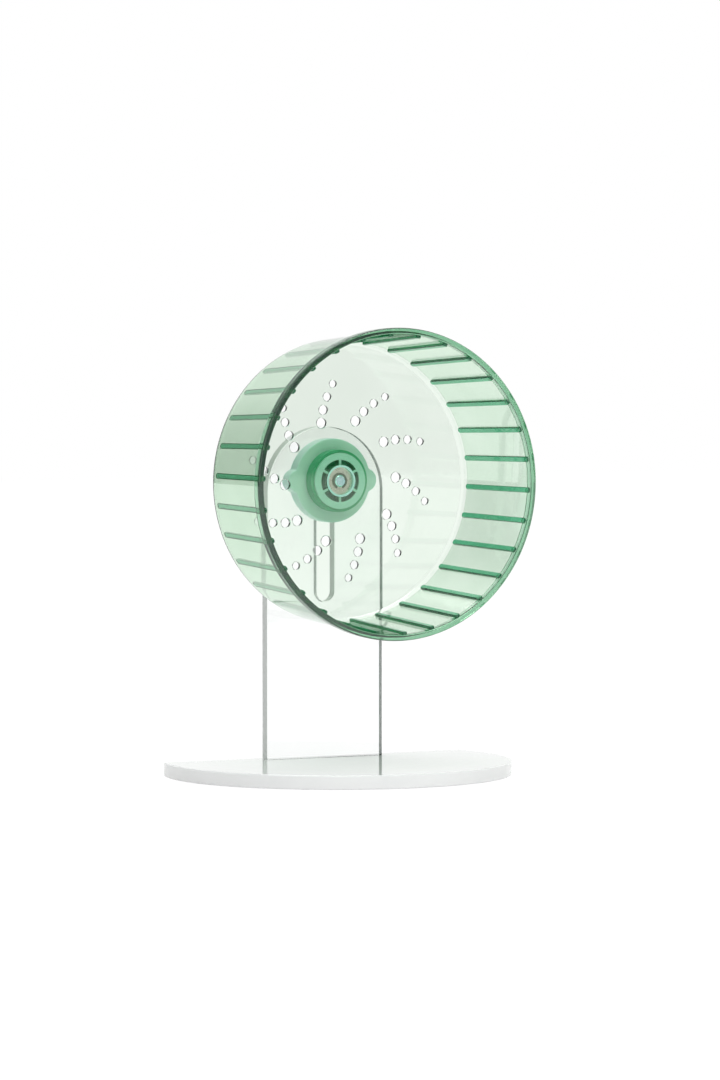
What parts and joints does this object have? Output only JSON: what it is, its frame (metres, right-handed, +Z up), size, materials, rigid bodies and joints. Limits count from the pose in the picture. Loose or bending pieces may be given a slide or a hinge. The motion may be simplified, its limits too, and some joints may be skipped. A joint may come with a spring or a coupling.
{
  "type": "rodent exercise wheel",
  "caption": "Hamster wheel: clear green ribbed drum on a ball-bearing hub, set at any height in a clear slotted stand plate on a white half-round base.",
  "frame": {"origin": "middle of the footprint on the surface that the wheel stands on", "axes": "+Z up; the drum opens towards -Y, so its axle runs along Y; +X to the right as seen from the front; the stand plate is behind the drum, towards +Y"},
  "size_m": [0.24, 0.156, 0.3067],
  "materials": {
    "clear_green_plastic": "polished, clear",
    "mint_plastic": "satin moulded",
    "clear_acrylic": "polished, clear",
    "white_acrylic": "polished",
    "bearing_steel": "ground and polished",
    "pin_steel": "polished",
    "spring_steel": "blued",
    "zinc_steel": "zinc plated",
    "grey_rubber": "matte",
    "clear_rubber": "soft, matte",
    "cage_nylon": "matte"
  },
  "bodies": {
    "stand": {"base_plate": "white_acrylic", "anti_slip_pads": "grey_rubber", "stand_plate": "clear_acrylic"},
    "axle_carriage": {"axle_carrier": "mint_plastic", "rear_pad": "clear_rubber", "axle_pin": "pin_steel", "axle_clip": "spring_steel", "bearing_spacer": "zinc_steel", "front_bearing_inner_ring": "bearing_steel", "rear_bearing_inner_ring": "bearing_steel"},
    "washer": {"clamp_washer": "clear_rubber"},
    "knob": {"clamp_knob": "mint_plastic"},
    "wheel": {"wheel_drum": "clear_green_plastic", "wheel_hub": "mint_plastic", "front_bearing_outer_ring": "bearing_steel", "front_bearing_shields": "bearing_steel", "rear_bearing_outer_ring": "bearing_steel", "rear_bearing_shields": "bearing_steel"},
    "front_ball_cage": {"front_bearing_cage": "cage_nylon", "front_bearing_balls": "bearing_steel"},
    "rear_ball_cage": {"rear_bearing_cage": "cage_nylon", "rear_bearing_balls": "bearing_steel"}
  },
  "joints": [
    {"name": "height_slide", "type": "slide", "parent": "stand", "child": "axle_carriage", "axis": [0, 0, 1], "range_m": [-0.0738, 0]},
    {"name": "wheel_spin", "type": "hinge", "parent": "axle_carriage", "child": "wheel", "pos_m": [0, 0, 0.2017], "axis": [0, 1, 0], "continuous": true},
    {"name": "front_cage_spin", "type": "hinge", "parent": "axle_carriage", "child": "front_ball_cage", "pos_m": [0, 0, 0.2017], "axis": [0, 1, 0], "continuous": true},
    {"name": "rear_cage_spin", "type": "hinge", "parent": "axle_carriage", "child": "rear_ball_cage", "pos_m": [0, 0, 0.2017], "axis": [0, 1, 0], "continuous": true},
    {"name": "washer_slide", "type": "slide", "parent": "axle_carriage", "child": "washer", "axis": [0, -1, 0], "range_m": [0, 0.001]},
    {"name": "knob_turn", "type": "hinge", "parent": "washer", "child": "knob", "pos_m": [0, 0.0545, 0.2017], "axis": [0, -1, 0], "range_deg": [0, 190]}
  ],
  "couplings": [
    {"joint": "front_cage_spin", "follows": "wheel_spin", "ratio": 0.61759},
    {"joint": "rear_cage_spin", "follows": "wheel_spin", "ratio": 0.61759},
    {"joint": "knob_turn", "follows": "washer_slide", "rad_per_m": 3141.6}
  ]
}
